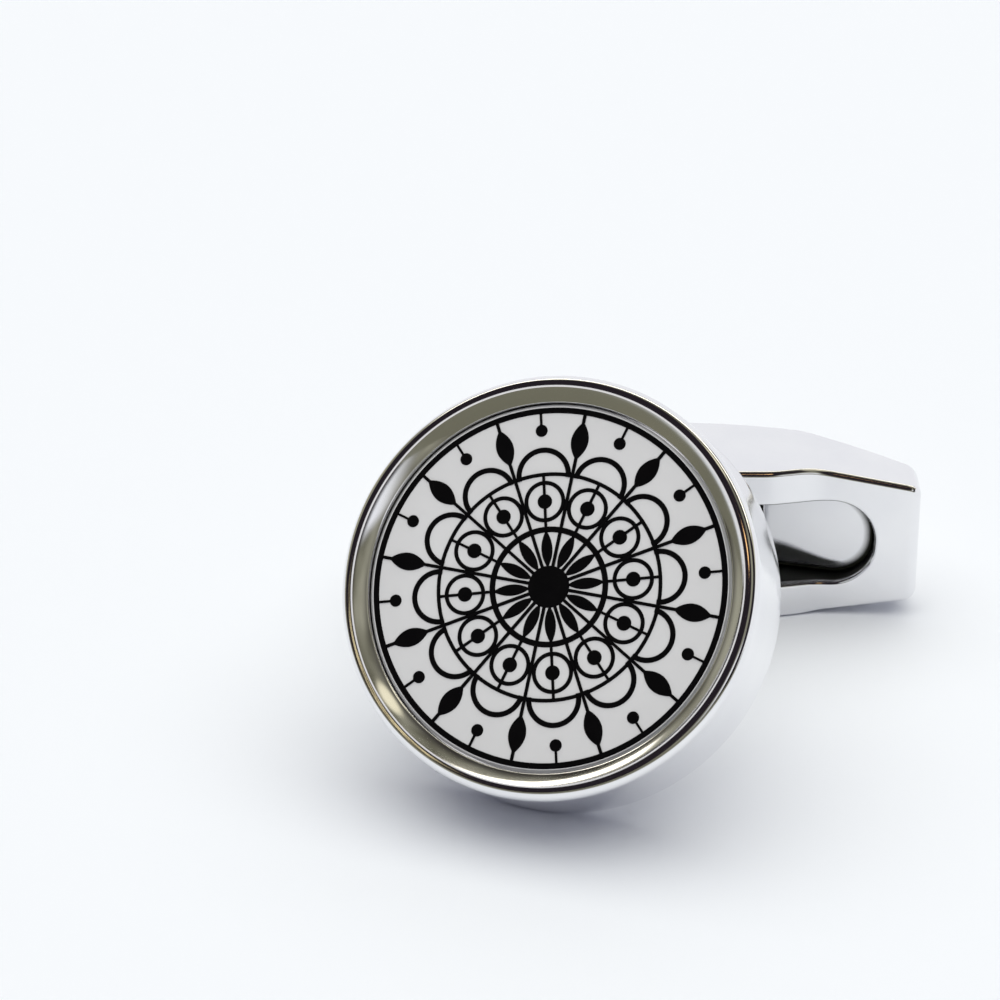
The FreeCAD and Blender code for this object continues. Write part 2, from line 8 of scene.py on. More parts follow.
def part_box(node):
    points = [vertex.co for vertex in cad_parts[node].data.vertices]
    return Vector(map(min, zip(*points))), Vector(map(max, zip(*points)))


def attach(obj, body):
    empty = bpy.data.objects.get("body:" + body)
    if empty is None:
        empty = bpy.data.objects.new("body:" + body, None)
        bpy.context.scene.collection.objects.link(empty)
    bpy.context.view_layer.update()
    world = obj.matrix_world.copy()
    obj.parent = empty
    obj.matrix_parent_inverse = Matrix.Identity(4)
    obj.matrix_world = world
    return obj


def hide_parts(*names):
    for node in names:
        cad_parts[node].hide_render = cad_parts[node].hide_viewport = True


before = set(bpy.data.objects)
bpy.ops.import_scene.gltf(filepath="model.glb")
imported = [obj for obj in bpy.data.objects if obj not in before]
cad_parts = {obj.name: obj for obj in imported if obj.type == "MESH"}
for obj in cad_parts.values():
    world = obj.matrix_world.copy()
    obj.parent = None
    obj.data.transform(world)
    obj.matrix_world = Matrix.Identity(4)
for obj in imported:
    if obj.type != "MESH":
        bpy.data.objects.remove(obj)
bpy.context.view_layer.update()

# Bezel drum: a cup turned from brass, plated with rhodium and polished by hand. Its rim is rounded
# outside and falls inwards in a slightly hollow bevel to the recess for the face, and its rear edge
# is softly broken. It leans back, and its place comes from the film that lies in its recess.
MM = 0.001
LEAN = math.radians(38.0)
FILM_MIDDLE = 3.9
film_low, film_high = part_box("bond_film")
face_way = Vector((0.0, -math.cos(LEAN), math.sin(LEAN)))
drum_base = (film_low + film_high) / 2 - face_way * FILM_MIDDLE * MM
drum_place = Matrix.Translation(drum_base) @ Matrix.Rotation(math.pi / 2 - LEAN, 4, "X")


class Wire:
    """A socket in a node tree. Sums on it add Math nodes, and node() adds any other node."""

    def __init__(self, tree, socket=None):
        self.tree = tree
        self.socket = socket

    def node(self, kind, settings=None, values=None, out=0):
        made = self.tree.nodes.new(kind)
        for key, value in (settings or {}).items():
            if key == "stops":
                stops = made.color_ramp.elements
                stops.remove(stops[1])
                stops[0].position = value[0][0]
                stops[0].color = value[0][1]
                for position, colour in value[1:]:
                    stops.new(position).color = colour
            else:
                setattr(made, key, value)
        for key, value in (values or {}).items():
            if isinstance(value, Wire):
                self.tree.links.new(value.socket, made.inputs[key])
            else:
                made.inputs[key].default_value = value
        return Wire(self.tree, made.outputs[out])

    def into(self, shader, name):
        self.tree.links.new(self.socket, shader.inputs[name])

    def sum(self, operation, first, second):
        return self.node("ShaderNodeMath", {"operation": operation}, {0: first, 1: second})

    def __add__(self, other):
        return self.sum("ADD", self, other)

    __radd__ = __add__

    def __sub__(self, other):
        return self.sum("SUBTRACT", self, other)

    def __rsub__(self, other):
        return self.sum("SUBTRACT", other, self)

    def __mul__(self, other):
        return self.sum("MULTIPLY", self, other)

    __rmul__ = __mul__


def new_finish(name):
    """A material, its shader, and a wire to build its nodes on."""
    material = bpy.data.materials.new(name)
    material.use_nodes = True
    tree = material.node_tree
    return material, tree.nodes["Principled BSDF"], Wire(tree)


def wear(finish, *node_names):
    """Gives a finish to nodes of the CAD model."""
    for node_name in node_names:
        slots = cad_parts[node_name].data.materials
        slots.clear()
        slots.append(finish)


def noise(place, scale, detail):
    return place.node("ShaderNodeTexNoise", {}, {"Vector": place, "Scale": scale, "Detail": detail})


def mottled(start, scale, detail, dark, light):
    """A place on the piece, a soft noise there, and a tint that wanders with it from dark to light."""
    place = start.node("ShaderNodeTexCoord", out="Object")
    cloud = noise(place, scale, detail)
    stops = [(0.3, dark + (1.0,)), (0.7, light + (1.0,))]
    tint = place.node("ShaderNodeValToRGB", {"stops": stops}, {"Fac": cloud})
    return place, cloud, tint


def laid_over(below, above, share):
    """One colour over another, by the share of the surface that it covers."""
    return share.node("ShaderNodeMix", {"data_type": "RGBA"}, {0: share, 6: below, 7: above}, 2)


PLATE_DARK = (0.83, 0.83, 0.85)
PLATE_LIGHT = (0.87, 0.87, 0.88)
# Near-black painted shade for the walls inside the toggle's slot.
SLOT_PAINTED_SHADE = (0.014, 0.014, 0.010, 1.0)
plate_finish, shader, start = new_finish("rhodium_plate")
place, cloud, tint = mottled(start, scale=420.0, detail=3.0, dark=PLATE_DARK, light=PLATE_LIGHT)
grain = noise(place, scale=9000.0, detail=2.0)
# A mask on the toggle's slot walls paints their colour near black, as painted shade inside the slot,
# and also makes them rougher, as unpolished metal.
as_cast = place.node("ShaderNodeAttribute", {"attribute_name": "as_cast"}, out="Fac")
laid_over(tint, SLOT_PAINTED_SHADE, as_cast).into(shader, "Base Color")
(0.05 + cloud * 0.05 + grain * 0.03 + as_cast * 0.25).into(shader, "Roughness")
waves = {"Strength": 0.12, "Distance": 0.00002, "Height": cloud + grain * 0.05}
place.node("ShaderNodeBump", {}, waves, "Normal").into(shader, "Normal")
shader.inputs["Metallic"].default_value = 1.0
wear(plate_finish, "bezel_drum")


def arc(across, up, radius, first, last, steps):
    """Points on an arc of a turned profile, angles in degrees from straight out."""
    points = []
    for k in range(steps + 1):
        angle = math.radians(first + (last - first) * k / steps)
        points.append((across + radius * math.cos(angle), up + radius * math.sin(angle)))
    return points


def in_scene(name, data):
    made = bpy.data.objects.new(name, data)
    bpy.context.scene.collection.objects.link(made)
    return made


def finished(name, mesh, body, finish, sharp=30.0):
    """Puts a mesh into the scene as a piece of a body, smooth except where it is truly sharp."""
    mesh.shade_smooth()
    mesh.set_sharp_from_angle(angle=math.radians(sharp))
    mesh.materials.clear()
    mesh.materials.append(finish)
    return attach(in_scene(name, mesh), body)


def closed_mesh(name, work, pairs):
    """Mesh of quads between pairs of rings, with doubles merged and faces turned outwards."""
    for below, above in pairs:
        for k in range(len(below)):
            after = (k + 1) % len(below)
            work.faces.new((below[k], below[after], above[after], above[k]))
    bmesh.ops.remove_doubles(work, verts=work.verts[:], dist=1e-7)
    bmesh.ops.dissolve_degenerate(work, edges=work.edges[:], dist=1e-7)
    bmesh.ops.recalc_face_normals(work, faces=work.faces[:])
    mesh = bpy.data.meshes.new(name)
    work.to_mesh(mesh)
    work.free()
    return mesh


def turned(name, profile, steps, to_place):
    """Mesh of a closed profile of (radius, height) in millimetres, turned about its height."""
    work = bmesh.new()
    rings = []
    for radius, height in profile:
        ring = []
        for k in range(steps):
            angle = 2 * math.pi * k / steps
            at = Vector((radius * math.cos(angle), radius * math.sin(angle), height)) * MM
            ring.append(work.verts.new(to_place @ at))
        rings.append(ring)
    return closed_mesh(name, work, zip(rings, rings[1:] + rings[:1]))


DRUM_RADIUS = 8.5
DRUM_DEPTH = 5.0
REAR_FLAT = 7.97
REAR_BREAK = 0.53
REAR_ROUND = 0.2
REAR_RINGS = (7.5, 7.95)
SIDE_RINGS = (1.5, 3.0, 4.2)
RIM_ROUND = 0.5
CREST = 7.95
BEVEL_RUN = 0.5241
BEVEL_FALL = 0.3656
BEVEL_INWARD = (0.57, -0.82)
BEVEL_HOLLOW = 0.013
BEVEL_STEPS = 12
LIP_ROUND = 0.06
LIP_HEIGHT = 4.585
LIP_START = 124.6
LIP_FOOT = 4.4
RECESS_RADIUS = 7.4
RECESS_FLOOR = 3.85
WEB_BACK = 2.95
HOLLOW_RADIUS = 6.8
PLATE_SEAT = 7.2
PLATE_DEPTH = 0.9
drum_profile = [(PLATE_SEAT, 0.0)]
drum_profile += [(radius, 0.0) for radius in REAR_RINGS]
drum_profile += arc(REAR_FLAT, REAR_ROUND, REAR_ROUND, -90, -45, 5)
drum_profile += arc(DRUM_RADIUS - REAR_ROUND, REAR_BREAK, REAR_ROUND, -45, 0, 5)
drum_profile += [(DRUM_RADIUS, height) for height in SIDE_RINGS]
drum_profile += arc(DRUM_RADIUS - RIM_ROUND, DRUM_DEPTH - RIM_ROUND, RIM_ROUND, 0, 90, 24)
drum_profile.append((CREST, DRUM_DEPTH))
for k in range(1, BEVEL_STEPS):
    share = k / BEVEL_STEPS
    hollow = BEVEL_HOLLOW * 4 * share * (1 - share)
    across = CREST - BEVEL_RUN * share + BEVEL_INWARD[0] * hollow
    up = DRUM_DEPTH - BEVEL_FALL * share + BEVEL_INWARD[1] * hollow
    drum_profile.append((across, up))
drum_profile += arc(RECESS_RADIUS + LIP_ROUND, LIP_HEIGHT, LIP_ROUND, LIP_START, 180, 4)
drum_profile += [(RECESS_RADIUS, LIP_FOOT), (RECESS_RADIUS, RECESS_FLOOR), (0.0, RECESS_FLOOR)]
drum_profile += [(0.0, WEB_BACK), (HOLLOW_RADIUS, WEB_BACK)]
drum_profile += [(HOLLOW_RADIUS, PLATE_DEPTH), (PLATE_SEAT, PLATE_DEPTH)]
drum_mesh = turned("bezel_drum_turned", drum_profile, 600, drum_place)
drum_piece = finished("bezel_drum_turned", drum_mesh, "head", plate_finish)
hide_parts("bezel_drum")

# Back plate and stem: a turned plate that closes the drum behind, and a cast, bent stem brazed into
# it by its spigot. Both are plated and polished as the drum is, and their CAD shapes stay.
wear(plate_finish, "back_plate", "stem")

# Bonding film: a thin, pale bed of adhesive, rolled on to the web of the drum and pressed flat under
# the face. It is hidden.
FILM_DARK = (0.62, 0.60, 0.52)
FILM_LIGHT = (0.72, 0.70, 0.62)
film_finish, shader, start = new_finish("bond_film_pale")
place, cloud, tint = mottled(start, scale=900.0, detail=2.0, dark=FILM_DARK, light=FILM_LIGHT)
tint.into(shader, "Base Color")
shader.inputs["Roughness"].default_value = 0.6
wear(film_finish, "bond_film")

# Face disc: steel blanked from sheet, polished flat and bonded into the recess. It is as bright as
# the card in front of it, with the faint cloud and grain of a lapped surface.
FACE_TOP = 4.5
FACE_DARK = (0.80, 0.80, 0.80)
FACE_LIGHT = (0.86, 0.86, 0.86)
face_finish, shader, start = new_finish("polished_face")
place, cloud, tint = mottled(start, scale=260.0, detail=3.0, dark=FACE_DARK, light=FACE_LIGHT)
grain = noise(place, scale=14000.0, detail=2.0)
tint.into(shader, "Base Color")
(0.12 + cloud * 0.05 + grain * 0.05).into(shader, "Roughness")
shader.inputs["Metallic"].default_value = 0.4
wear(face_finish, "face_disc")

# Enamel rosette: black enamel fired on the face in raised lines with sloping edges. A hub and three
# rings run round, and one motif of ray, petal, eye, scallop, leaf and bead is repeated in twelve
# sectors. The tops differ by a hair, so that lines which cross never share a plane.
ENAMEL_DARK = (0.0012, 0.001, 0.0014)
ENAMEL_LIGHT = (0.003, 0.0027, 0.003)
enamel_finish, shader, start = new_finish("black_enamel")
place, cloud, tint = mottled(start, scale=1500.0, detail=3.0, dark=ENAMEL_DARK, light=ENAMEL_LIGHT)
tint.into(shader, "Base Color")
(0.18 + cloud * 0.14).into(shader, "Roughness")
shader.inputs["Specular IOR Level"].default_value = 0.05
wear(enamel_finish, "enamel_rosette")

SECTORS = 12
LINE = 0.055
PATCH_SLOPE = 0.03
LINE_SLOPE = 0.025
HUB = 0.85
INNER_RING = 2.42
MIDDLE_RING = 4.6
OUTER_RING = 7.22
RAY_END = 7.1
EYE_PLACE = 3.43
SCALLOP_PLACE = 4.5
SCALLOP_TURN = 3.5
BEAD_PLACE = 6.3


def flat_shape(work, outline, top):
    """Raised patch with sloping edges over a closed outline in the plane of the face."""
    count = len(outline)
    middle_x = sum(x for x, y in outline) / count
    middle_y = sum(y for x, y in outline) / count
    low = [work.verts.new((x * MM, y * MM, 0.0)) for x, y in outline]
    high = []
    for x, y in outline:
        keep = 1.0 - PATCH_SLOPE / math.hypot(x - middle_x, y - middle_y)
        top_x = (middle_x + (x - middle_x) * keep) * MM
        top_y = (middle_y + (y - middle_y) * keep) * MM
        high.append(work.verts.new((top_x, top_y, top * MM)))
    for k in range(count):
        after = (k + 1) % count
        work.faces.new((low[k], low[after], high[after], high[k]))
    work.faces.new(high)


def line_loop(work, centre, radius, width, top, steps, first=0.0, turn=2 * math.pi):
    """Raised round line, flat on top with sloping edges: a whole ring, or an arc from first on."""
    inner = radius - width
    section = [(inner, 0.0), (inner + LINE_SLOPE, top), (radius - LINE_SLOPE, top), (radius, 0.0)]
    whole = turn == 2 * math.pi
    angles = [first + turn * k / steps for k in range(steps if whole else steps + 1)]
    rings = []
    for across, height in section:
        ring = []
        for angle in angles:
            x = (centre[0] + across * math.cos(angle)) * MM
            y = (centre[1] + across * math.sin(angle)) * MM
            ring.append(work.verts.new((x, y, height * MM)))
        rings.append(ring)
    for inner_ring, outer_ring in zip(rings, rings[1:]):
        for k in range(steps):
            after = (k + 1) % len(angles)
            work.faces.new((inner_ring[k], outer_ring[k], outer_ring[after], inner_ring[after]))


def along(angle, distance, aside=0.0):
    """Point at a distance from the centre along a ray, and aside from it."""
    x = distance * math.cos(angle) - aside * math.sin(angle)
    y = distance * math.sin(angle) + aside * math.cos(angle)
    return (x, y)


def strip(work, angle, inner, outer, width, top):
    """Straight raised line along a ray."""
    near = [along(angle, inner, -width / 2), along(angle, outer, -width / 2)]
    far = [along(angle, outer, width / 2), along(angle, inner, width / 2)]
    flat_shape(work, near + far, top)


def pointed_oval(work, angle, inner, outer, width, top):
    """Leaf with a point at each end, along a ray."""
    steps = 16
    low_side = []
    high_side = []
    for k in range(1, steps):
        share = k / steps
        swell = width / 2 * (1 - (2 * share - 1) ** 2)
        low_side.append(along(angle, inner + (outer - inner) * share, -swell))
        high_side.append(along(angle, inner + (outer - inner) * share, swell))
    flat_shape(work, [along(angle, inner)] + low_side + [along(angle, outer)] + high_side[::-1], top)


def round_patch(work, angle, distance, radius, top):
    """Bead on a ray."""
    steps = 28
    centre_x, centre_y = along(angle, distance)
    outline = []
    for k in range(steps):
        clock = 2 * math.pi * k / steps
        outline.append((centre_x + radius * math.cos(clock), centre_y + radius * math.sin(clock)))
    flat_shape(work, outline, top)


def raised(name, work):
    """Puts the raised lines into the scene as an object."""
    mesh = bpy.data.meshes.new(name)
    work.to_mesh(mesh)
    work.free()
    return in_scene(name, mesh)


between = math.pi / SECTORS
eye = along(between, EYE_PLACE)
scallop = along(between, SCALLOP_PLACE)
work = bmesh.new()
strip(work, 0.0, inner=0.4, outer=RAY_END, width=0.13, top=LINE - 0.006)
pointed_oval(work, between, inner=0.75, outer=2.28, width=0.46, top=LINE - 0.004)
line_loop(work, eye, radius=0.84, width=0.17, top=LINE - 0.003, steps=48)
strip(work, between, inner=2.3, outer=SCALLOP_PLACE, width=0.11, top=LINE - 0.005)
round_patch(work, between, EYE_PLACE, radius=0.3, top=LINE)
line_loop(work, scallop, radius=1.12, width=0.22, top=LINE - 0.002, steps=40,
          first=between - SCALLOP_TURN / 2, turn=SCALLOP_TURN)
pointed_oval(work, 0.0, inner=5.15, outer=6.72, width=0.72, top=LINE - 0.001)
strip(work, between, inner=BEAD_PLACE, outer=RAY_END, width=0.1, top=LINE - 0.005)
round_patch(work, between, BEAD_PLACE, radius=0.25, top=LINE)
motif = raised("enamel_motif", work)
work = bmesh.new()
round_patch(work, 0.0, 0.0, radius=HUB, top=LINE)
line_loop(work, (0.0, 0.0), radius=INNER_RING, width=0.24, top=LINE, steps=120)
line_loop(work, (0.0, 0.0), radius=MIDDLE_RING, width=0.16, top=LINE + 0.001, steps=160)
line_loop(work, (0.0, 0.0), radius=OUTER_RING, width=0.24, top=LINE, steps=240)
rosette = raised("enamel_lines", work)

polar = bpy.data.node_groups.new("polar_repeat", "GeometryNodeTree")
polar.interface.new_socket("Rings", in_out="INPUT", socket_type="NodeSocketGeometry")
motif_input = polar.interface.new_socket("Motif", in_out="INPUT", socket_type="NodeSocketObject")
count_input = polar.interface.new_socket("Sectors", in_out="INPUT", socket_type="NodeSocketInt")
finish_input = polar.interface.new_socket("Finish", in_out="INPUT", socket_type="NodeSocketMaterial")
polar.interface.new_socket("Rosette", in_out="OUTPUT", socket_type="NodeSocketGeometry")
start = Wire(polar)
given = polar.nodes.new("NodeGroupInput")
sectors = Wire(polar, given.outputs["Sectors"])
places = start.node("GeometryNodeMeshLine", {}, {"Count": sectors, "Offset": (0.0, 0.0, 0.0)})
pattern = Wire(polar, given.outputs["Motif"])
shape = start.node("GeometryNodeObjectInfo", {}, {"Object": pattern}, "Geometry")
index = start.node("GeometryNodeInputIndex")
angle = start.sum("DIVIDE", index * (2 * math.pi), sectors)
turns = start.node("ShaderNodeCombineXYZ", {}, {"Z": angle})
copies = start.node("GeometryNodeInstanceOnPoints", {}, {
    "Points": places,
    "Instance": shape,
    "Rotation": turns,
})
motifs = start.node("GeometryNodeRealizeInstances", {}, {"Geometry": copies})
joined = polar.nodes.new("GeometryNodeJoinGeometry")
motifs.into(joined, "Geometry")
polar.links.new(given.outputs["Rings"], joined.inputs["Geometry"])
dressed = start.node("GeometryNodeSetMaterial", {}, {
    "Geometry": Wire(polar, joined.outputs["Geometry"]),
    "Material": Wire(polar, given.outputs["Finish"]),
})
dressed.into(polar.nodes.new("NodeGroupOutput"), "Rosette")

repeat = rosette.modifiers.new("polar_repeat", "NODES")
repeat.node_group = polar
repeat[motif_input.identifier] = motif
repeat[count_input.identifier] = SECTORS
repeat[finish_input.identifier] = enamel_finish
seen = rosette.evaluated_get(bpy.context.evaluated_depsgraph_get())
rosette_mesh = bpy.data.meshes.new_from_object(seen)
rosette.modifiers.remove(repeat)
bpy.data.objects.remove(rosette)
bpy.data.objects.remove(motif)
rosette_mesh.transform(drum_place @ Matrix.Translation((0.0, 0.0, FACE_TOP * MM)))
rosette_piece = finished("enamel_lines", rosette_mesh, "head", enamel_finish)
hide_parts("enamel_rosette")

# Toggle body: cast as an arched bar, wide and gently bent in front with a blind slot for the stem,
# then bored for the pin, tumbled, plated and polished, so that every edge is soft. The slot's walls,
# which no polishing wheel reaches, are rougher, and their colour is painted near black as painted
# shade inside the slot.
TURNED_BY = math.radians(20.0)
HALF_LENGTH = 10.9
HALF_HEIGHT = 3.6
END_HALF_HEIGHT = 2.75
TAPER_START = 6.0
TAPER_BEND = 0.43
CORNER = 0.55
CROWN = 3.5
BACK_END = 0.77
FRONT = -1.4
DIP_START = 4.5
DIP_END = 6.6
DIP = 0.42
DIP_BEND = 0.30
END_LIFT = 0.30
LIFT_BEND = 0.40
SLOT_END = 9.0
SLOT_HALF = 2.0
SLOT_TURN = 1.9
FLOOR_WALL = 0.85
WELL = 3.0
WELL_BEND = 0.2
SHELF = 4.3
SHELF_BEND = 0.25
SHELF_DEPTH = 0.85
SHELF_FALL = 1.25
LONG_EDGE = 0.24
END_EDGE = 0.46
MOUTH = 0.14
FLOOR_EDGE = 0.12
SLOT_SPINE = 7.0
BACK_SPINE = 8.0
PIN_RADIUS = 0.65
DRILL_REACH = 5.0
pin_low, pin_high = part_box("pivot_pin")
toggle_place = Matrix.Translation((pin_low + pin_high) / 2) @ Matrix.Rotation(TURNED_BY, 4, "Z")
crown_radius = (HALF_LENGTH ** 2 + (CROWN - BACK_END) ** 2) / (2 * (CROWN - BACK_END))
crown_centre = CROWN - crown_radius
wear(plate_finish, "toggle_body")


def bend(past, reach):
    """0 before a bend and the distance past it after, with a smooth turn over the reach."""
    if past <= -reach:
        return 0.0
    if past >= reach:
        return past
    return (past + reach) ** 2 / (4 * reach)


def front_of(x):
    """Front face: level in the middle, dipping back beside it, and coming forward to the end."""
    x = abs(x)
    dip = DIP / (DIP_END - DIP_START)
    lift = END_LIFT / (HALF_LENGTH - DIP_END)
    back_again = (dip + lift) * bend(x - DIP_END, LIFT_BEND)
    return FRONT + dip * bend(x - DIP_START, DIP_BEND) - back_again


def back_of(x):
    """Back: one long arch."""
    return crown_centre + math.sqrt(crown_radius ** 2 - x * x)


def floor_of(x):
    """Slot floor: a deep arched well round the eye, a ramp out of it, then a shallow shelf."""
    x = abs(x)
    arch_radius = crown_radius - FLOOR_WALL
    well_end = crown_centre + math.sqrt(arch_radius ** 2 - WELL * WELL)
    ramp_fall = (well_end - SHELF_DEPTH) / (SHELF - WELL)
    shelf_fall = SHELF_FALL / (SLOT_END - SHELF)
    arched = crown_centre + math.sqrt(arch_radius ** 2 - min(x, WELL) ** 2)
    levelled = (ramp_fall - shelf_fall) * bend(x - SHELF, SHELF_BEND)
    return arched - ramp_fall * bend(x - WELL, WELL_BEND) + levelled


def all_round(quarter):
    """Whole outline from its upper right quarter, as points with their outward ways."""
    right_low = [(x, -z, nx, -nz) for x, z, nx, nz in quarter[::-1]]
    left_low = [(-x, -z, -nx, -nz) for x, z, nx, nz in quarter]
    left_high = [(-x, z, -nx, nz) for x, z, nx, nz in quarter[::-1]]
    return quarter + right_low[1:] + left_low[1:] + left_high[1:-1]


TOP_STEPS = 64
TURN_STEPS = 12
END_STEPS = 8
slope = (HALF_HEIGHT - END_HALF_HEIGHT) / (HALF_LENGTH - TAPER_START)
taper = math.atan(slope)
corner_x = HALF_LENGTH - CORNER
corner_z = END_HALF_HEIGHT + (math.sin(taper) - 1) * CORNER / math.cos(taper)
corner_start = corner_x + CORNER * math.sin(taper)
outer = []
for k in range(TOP_STEPS):
    x = corner_start * k / TOP_STEPS
    past = x - TAPER_START
    tilt = slope * min(max((past + TAPER_BEND) / (2 * TAPER_BEND), 0.0), 1.0)
    size = math.hypot(tilt, 1.0)
    outer.append((x, HALF_HEIGHT - slope * bend(past, TAPER_BEND), tilt / size, 1.0 / size))
for k in range(TURN_STEPS + 1):
    angle = (math.pi / 2 - taper) * (1 - k / TURN_STEPS)
    nx = math.cos(angle)
    nz = math.sin(angle)
    outer.append((corner_x + CORNER * nx, corner_z + CORNER * nz, nx, nz))
for k in range(1, END_STEPS + 1):
    outer.append((HALF_LENGTH, corner_z * (1 - k / END_STEPS), 1.0, 0.0))
outer = all_round(outer)

slot_straight = SLOT_END - SLOT_TURN
slot_steps = TURN_STEPS + END_STEPS
slot = []
for k in range(TOP_STEPS):
    slot.append((slot_straight * k / TOP_STEPS, SLOT_HALF, 0.0, 1.0))
for k in range(slot_steps):
    angle = math.pi / 2 * (1 - k / (slot_steps - 1))
    nx = math.cos(angle)
    nz = math.sin(angle)
    slot.append((slot_straight + SLOT_TURN * nx, SLOT_HALF - SLOT_TURN + SLOT_TURN * nz, nx, nz))
slot.append((SLOT_END, 0.0, 1.0, 0.0))
slot = all_round(slot)


def inset(outline, distance):
    return [(x - nx * distance, z - nz * distance) for x, z, nx, nz in outline]


def spine(outline, reach):
    """Middle line that an outline shrinks to."""
    return [(max(-reach, min(reach, x)), 0.0) for x, z, nx, nz in outline]


def mixed(first, second, share):
    return [(a + (c - a) * share, b + (d - b) * share) for (a, b), (c, d) in zip(first, second)]


def softened(share):
    """Points of the outline moved in by a share of the edge's rounding there, with that rounding."""
    points = []
    for x, z, nx, nz in outer:
        edge = LONG_EDGE + (END_EDGE - LONG_EDGE) * nx * nx
        points.append((x - nx * edge * share, z - nz * edge * share, edge))
    return points


def shares(steps):
    """Shares of the way from one ring to another, without both ends."""
    return [k / steps for k in range(1, steps)]


def quarter_turn(steps):
    """Angles of a quarter turn, with both ends."""
    return [math.pi / 2 * k / steps for k in range(steps + 1)]


FLOOR_STEPS = 6
WALL_STEPS = 6
SMALL_EDGE_STEPS = 6
FACE_STEPS = 10
EDGE_STEPS = 8
SIDE_STEPS = 8
BACK_STEPS = 10
rings = []
floor_spine = spine(slot, SLOT_SPINE)
floor_rim = inset(slot, FLOOR_EDGE)
for share in [0.0] + shares(FLOOR_STEPS):
    rings.append([(x, floor_of(x), z) for x, z in mixed(floor_spine, floor_rim, share)])
wall_start = len(rings)
for angle in quarter_turn(SMALL_EDGE_STEPS):
    line = inset(slot, FLOOR_EDGE * (1 - math.sin(angle)))
    rings.append([(x, floor_of(x) - FLOOR_EDGE * (1 - math.cos(angle)), z) for x, z in line])
for share in shares(WALL_STEPS):
    ring = []
    for x, z in inset(slot, 0.0):
        deep = floor_of(x) - FLOOR_EDGE
        ring.append((x, deep * (1 - share) + (front_of(x) + MOUTH) * share, z))
    rings.append(ring)
wall_stop = len(rings)
for angle in quarter_turn(SMALL_EDGE_STEPS):
    line = inset(slot, -MOUTH * (1 - math.cos(angle)))
    rings.append([(x, front_of(x) + MOUTH * (1 - math.sin(angle)), z) for x, z in line])
face_inner = inset(slot, -MOUTH)
face_outer = [(x, z) for x, z, edge in softened(1.0)]
for share in shares(FACE_STEPS):
    rings.append([(x, front_of(x), z) for x, z in mixed(face_inner, face_outer, share)])
for angle in quarter_turn(EDGE_STEPS):
    line = softened(1 - math.sin(angle))
    rings.append([(x, front_of(x) + edge * (1 - math.cos(angle)), z) for x, z, edge in line])
for share in shares(SIDE_STEPS):
    ring = []
    for x, z, edge in softened(0.0):
        ring.append((x, (front_of(x) + edge) * (1 - share) + (back_of(x) - edge) * share, z))
    rings.append(ring)
for angle in quarter_turn(EDGE_STEPS):
    line = softened(1 - math.cos(angle))
    rings.append([(x, back_of(x) - edge + edge * math.sin(angle), z) for x, z, edge in line])
back_spine = spine(outer, BACK_SPINE)
for share in shares(BACK_STEPS) + [1.0]:
    rings.append([(x, back_of(x), z) for x, z in mixed(face_outer, back_spine, share)])

work = bmesh.new()
slot_shade_layer = work.verts.layers.float.new("as_cast")
lofts = [[work.verts.new(Vector(at) * MM) for at in ring] for ring in rings]
# The slot's walls get the mask for the painted shade and the rougher finish.
for ring in lofts[wall_start:wall_stop]:
    for vert in ring:
        vert[slot_shade_layer] = 1.0
cast_mesh = closed_mesh("toggle_cast", work, zip(lofts, lofts[1:]))
cast = in_scene("toggle_cast", cast_mesh)
drill_profile = [(0.0, -DRILL_REACH), (PIN_RADIUS, -DRILL_REACH)]
drill_profile += [(PIN_RADIUS, DRILL_REACH), (0.0, DRILL_REACH)]
drill = in_scene("toggle_drill", turned("toggle_drill", drill_profile, 64, Matrix.Identity(4)))
bore = cast.modifiers.new("pin_hole", "BOOLEAN")
bore.operation = "DIFFERENCE"
bore.solver = "EXACT"
bore.object = drill
bored = cast.evaluated_get(bpy.context.evaluated_depsgraph_get())
toggle_mesh = bpy.data.meshes.new_from_object(bored)
bpy.data.objects.remove(cast)
bpy.data.objects.remove(drill)
toggle_mesh.transform(toggle_place)
toggle_piece = finished("toggle_polished", toggle_mesh, "toggle", plate_finish, 40.0)
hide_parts("toggle_body")

# Pivot pin, washers and friction leaf: the pin is ground steel held in the toggle's rails, the
# washers are punched and the leaf is a bowed, tempered strip. Their CAD shapes stay.
STEEL_DARK = (0.52, 0.52, 0.53)
STEEL_LIGHT = (0.64, 0.64, 0.65)
steel_finish, shader, start = new_finish("ground_steel")
place, grain, tint = mottled(start, scale=5000.0, detail=2.0, dark=STEEL_DARK, light=STEEL_LIGHT)
tint.into(shader, "Base Color")
(0.22 + grain * 0.2).into(shader, "Roughness")
shader.inputs["Metallic"].default_value = 1.0
wear(steel_finish, "pivot_pin", "upper_washer", "lower_washer", "leaf_spring")

# Table: a pale, smooth sheet that the cufflink lies on, wide enough to run out of every view.
# In polished metal only, the sheet is painted dim from a little way in front on: a painted reflection
# of the dim room, as if the sheet ended there.
TABLE_HALF = 3.0
SHEET_WHITE = (0.92, 0.94, 0.985, 1.0)
DIM_ROOM_REFLECTION = (0.17, 0.165, 0.12, 1.0)
table_mesh = bpy.data.meshes.new("table_sheet")
corners = [(-1, -1), (1, -1), (1, 1), (-1, 1)]
table_mesh.from_pydata([(x * TABLE_HALF, y * TABLE_HALF, 0.0) for x, y in corners], [], [(0, 1, 2, 3)])
table_sheet = in_scene("table_sheet", table_mesh)


def ramp(value, low, high):
    """0 up to a low value, 1 from a high one on, and smooth between them."""
    ends = {"Value": value, "From Min": low, "From Max": high}
    return value.node("ShaderNodeMapRange", {"interpolation_type": "SMOOTHSTEP"}, ends)


table_finish, shader, start = new_finish("table_white")
place = start.node("ShaderNodeTexCoord", out="Object")
depth = start.node("ShaderNodeSeparateXYZ", {}, {"Vector": place}, "Y")
mirrored = start.node("ShaderNodeLightPath", out="Is Glossy Ray")
